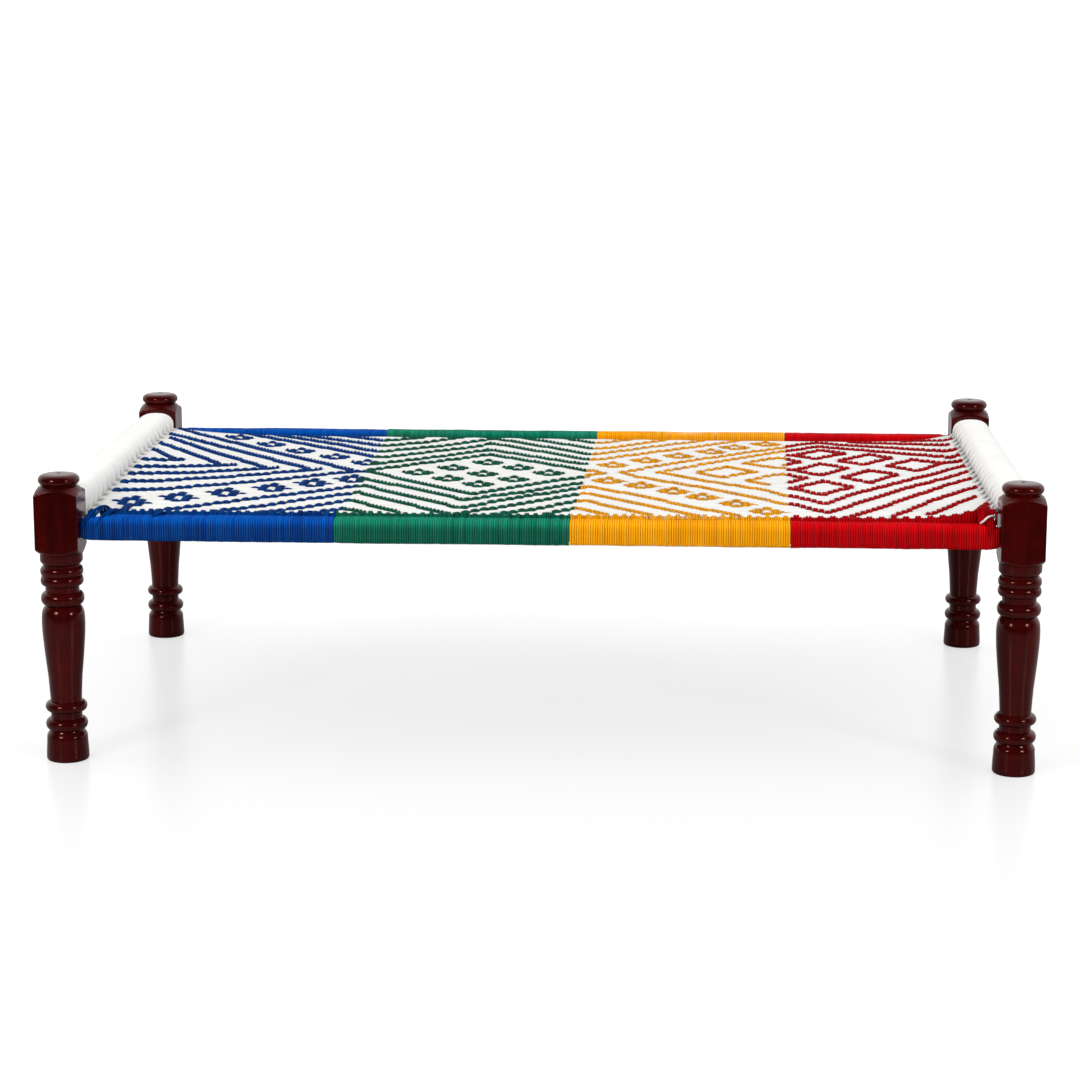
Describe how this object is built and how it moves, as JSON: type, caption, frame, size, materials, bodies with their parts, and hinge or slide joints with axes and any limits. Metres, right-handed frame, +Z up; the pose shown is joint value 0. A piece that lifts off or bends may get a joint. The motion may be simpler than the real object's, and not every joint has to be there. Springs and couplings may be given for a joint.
{
  "type": "charpai",
  "caption": "Low rope bed: turned wooden legs with square blocks, rails wrapped in coloured cord, thick white wrapped end rolls and a patterned woven cord top.",
  "frame": {"origin": "middle of the bed, on the floor under the legs", "axes": "+Z up; +X along the bed to its right-hand end, where the red cord is; +Y to its back"},
  "size_m": [1.832, 1.072, 0.54],
  "materials": {
    "leg_wood": "dark red-brown stained hardwood under gloss lacquer",
    "rail_wood": "plain sawn hardwood, stained, hidden under the windings",
    "cord_blue": "twisted cord, dyed royal blue, slight sheen",
    "cord_green": "twisted cord, dyed bottle green, slight sheen",
    "cord_yellow": "twisted cord, dyed golden yellow, slight sheen",
    "cord_red": "twisted cord, dyed crimson, slight sheen",
    "cord_white": "undyed white cotton cord, matt"
  },
  "bodies": {
    "root": {"leg_front_left": "leg_wood", "leg_front_right": "leg_wood", "leg_back_left": "leg_wood", "leg_back_right": "leg_wood", "side_rail_front": "rail_wood", "side_rail_back": "rail_wood", "end_rail_left": "rail_wood", "end_rail_right": "rail_wood", "side_wrap_front_blue": "cord_blue", "side_wrap_front_green": "cord_green", "side_wrap_front_yellow": "cord_yellow", "side_wrap_front_red": "cord_red", "side_wrap_back_blue": "cord_blue", "side_wrap_back_green": "cord_green", "side_wrap_back_yellow": "cord_yellow", "side_wrap_back_red": "cord_red", "end_wrap_left": "cord_white", "end_wrap_right": "cord_white", "warp_white": "cord_white", "weft_blue": "cord_blue", "weft_green": "cord_green", "weft_yellow": "cord_yellow", "weft_red": "cord_red"}
  },
  "joints": []
}
